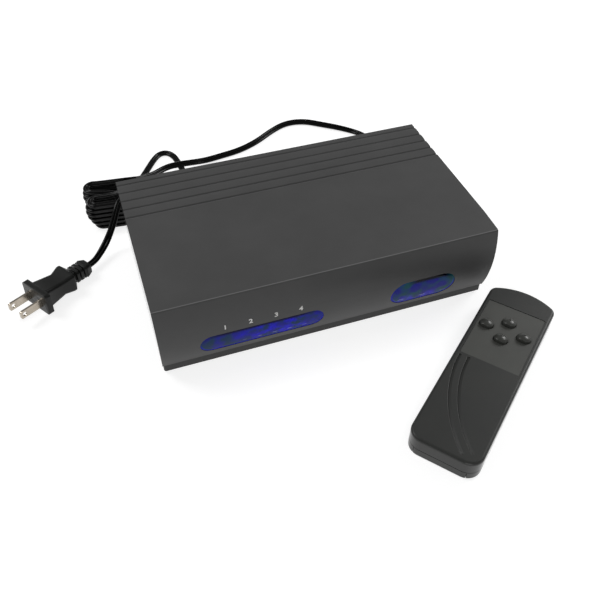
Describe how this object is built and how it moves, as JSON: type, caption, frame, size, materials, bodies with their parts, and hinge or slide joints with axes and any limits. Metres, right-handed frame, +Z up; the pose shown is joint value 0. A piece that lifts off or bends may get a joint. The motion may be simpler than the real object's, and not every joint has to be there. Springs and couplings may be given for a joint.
{
  "type": "remote controlled s-video and audio selector switch",
  "caption": "Low sloping-front selector box with tinted windows, rear video and phono sockets, bundled mains lead with plug, and a button handset",
  "frame": {"origin": "on the table, under the middle of the selector case", "axes": "+X to the right as seen from the front, +Y to the rear sockets, +Z up"},
  "size_m": [0.3553, 0.3916, 0.0624],
  "materials": {
    "case_plastic": "lightly textured charcoal ABS",
    "tray_plastic": "moulded black ABS",
    "panel_steel": "black powder coated steel",
    "blue_window": "clear blue tinted acrylic",
    "dark_window": "dark infrared acrylic",
    "foot_rubber": "soft rubber",
    "zinc_steel": "zinc plated screws",
    "nickel": "nickel plated brass",
    "tinned_brass": "tinned contact brass",
    "socket_nylon": "black nylon",
    "ring_red": "red nylon",
    "ring_white": "white nylon",
    "ring_yellow": "yellow nylon",
    "board_green": "epoxy glass board with solder resist",
    "chip_epoxy": "moulded epoxy",
    "capacitor_sleeve": "shrunk vinyl sleeve",
    "lamp_epoxy": "clear red epoxy",
    "infrared_epoxy": "dark epoxy",
    "grey_ribbon": "grey vinyl",
    "core_steel": "stacked varnished laminations",
    "winding_tape": "yellow polyester tape",
    "sink_aluminium": "black anodised extrusion",
    "crystal_can": "pressed steel can",
    "fuse_glass": "glass tube",
    "wire_vinyl": "black vinyl",
    "cord_vinyl": "glossy black vinyl",
    "tie_vinyl": "black vinyl over wire",
    "plug_vinyl": "moulded black vinyl",
    "handset_plastic": "lightly textured dark grey ABS",
    "keypad_plastic": "matt grey polyester overlay",
    "button_rubber": "satin silicone rubber",
    "membrane_rubber": "grey silicone rubber",
    "cell_jacket": "printed foil jacket"
  },
  "bodies": {
    "selector": {"top_cover": "case_plastic", "base_tray": "tray_plastic", "rear_panel": "panel_steel", "indicator_window": "blue_window", "receiver_window": "dark_window", "rubber_feet": "foot_rubber", "case_screws": "zinc_steel", "jack_screws": "zinc_steel", "svideo_sockets": "socket_nylon", "svideo_shields": "nickel", "svideo_contacts": "tinned_brass", "phono_blocks": "socket_nylon", "phono_barrels": "nickel", "phono_contacts": "tinned_brass", "phono_rings_red": "ring_red", "phono_rings_white": "ring_white", "phono_rings_yellow": "ring_yellow", "main_board": "board_green", "board_screws": "zinc_steel", "display_board": "board_green", "indicator_leds": "lamp_epoxy", "infrared_receiver": "infrared_epoxy", "display_ribbon": "grey_ribbon", "transformer_core": "core_steel", "transformer_winding": "winding_tape", "transformer_strap": "zinc_steel", "transformer_screws": "zinc_steel", "switch_chips": "chip_epoxy", "coupling_capacitors": "capacitor_sleeve", "reservoir_capacitor": "capacitor_sleeve", "heat_sink": "sink_aluminium", "voltage_regulator": "chip_epoxy", "quartz_crystal": "crystal_can", "fuse": "fuse_glass", "fuse_clips": "tinned_brass", "rectifier_diodes": "chip_epoxy", "mains_wires": "wire_vinyl", "transformer_wires": "wire_vinyl", "cord_bush": "cord_vinyl", "power_cord_lead": "cord_vinyl", "cord_hank": "cord_vinyl", "hank_tie": "tie_vinyl", "power_cord_tail": "cord_vinyl", "plug_body": "plug_vinyl", "plug_blades": "nickel"},
    "handset": {"remote_top_shell": "handset_plastic", "remote_bottom_shell": "handset_plastic", "keypad_plate": "keypad_plastic", "remote_board": "board_green", "remote_membrane": "membrane_rubber", "emitter_diode": "infrared_epoxy", "battery_cells": "cell_jacket", "battery_contacts": "tinned_brass", "remote_screws": "zinc_steel"},
    "button_1": {"remote_button_1": "button_rubber"},
    "button_2": {"remote_button_2": "button_rubber"},
    "button_3": {"remote_button_3": "button_rubber"},
    "button_4": {"remote_button_4": "button_rubber"},
    "hatch": {"battery_hatch": "handset_plastic"}
  },
  "joints": [
    {"name": "handset_lift", "type": "slide", "parent": "selector", "child": "handset", "axis": [0, 0, 1], "range_m": [0, 0.12]},
    {"name": "button_1_press", "type": "slide", "parent": "handset", "child": "button_1", "axis": [0, 0, -1], "range_m": [0, 0.001], "stiffness_N_per_m": 600, "springref_m": -0.0003},
    {"name": "button_2_press", "type": "slide", "parent": "handset", "child": "button_2", "axis": [0, 0, -1], "range_m": [0, 0.001], "stiffness_N_per_m": 600, "springref_m": -0.0003},
    {"name": "button_3_press", "type": "slide", "parent": "handset", "child": "button_3", "axis": [0, 0, -1], "range_m": [0, 0.001], "stiffness_N_per_m": 600, "springref_m": -0.0003},
    {"name": "button_4_press", "type": "slide", "parent": "handset", "child": "button_4", "axis": [0, 0, -1], "range_m": [0, 0.001], "stiffness_N_per_m": 600, "springref_m": -0.0003},
    {"name": "hatch_slide", "type": "slide", "parent": "handset", "child": "hatch", "axis": [-0.7694, -0.6388, 0], "range_m": [0, 0.045]}
  ]
}
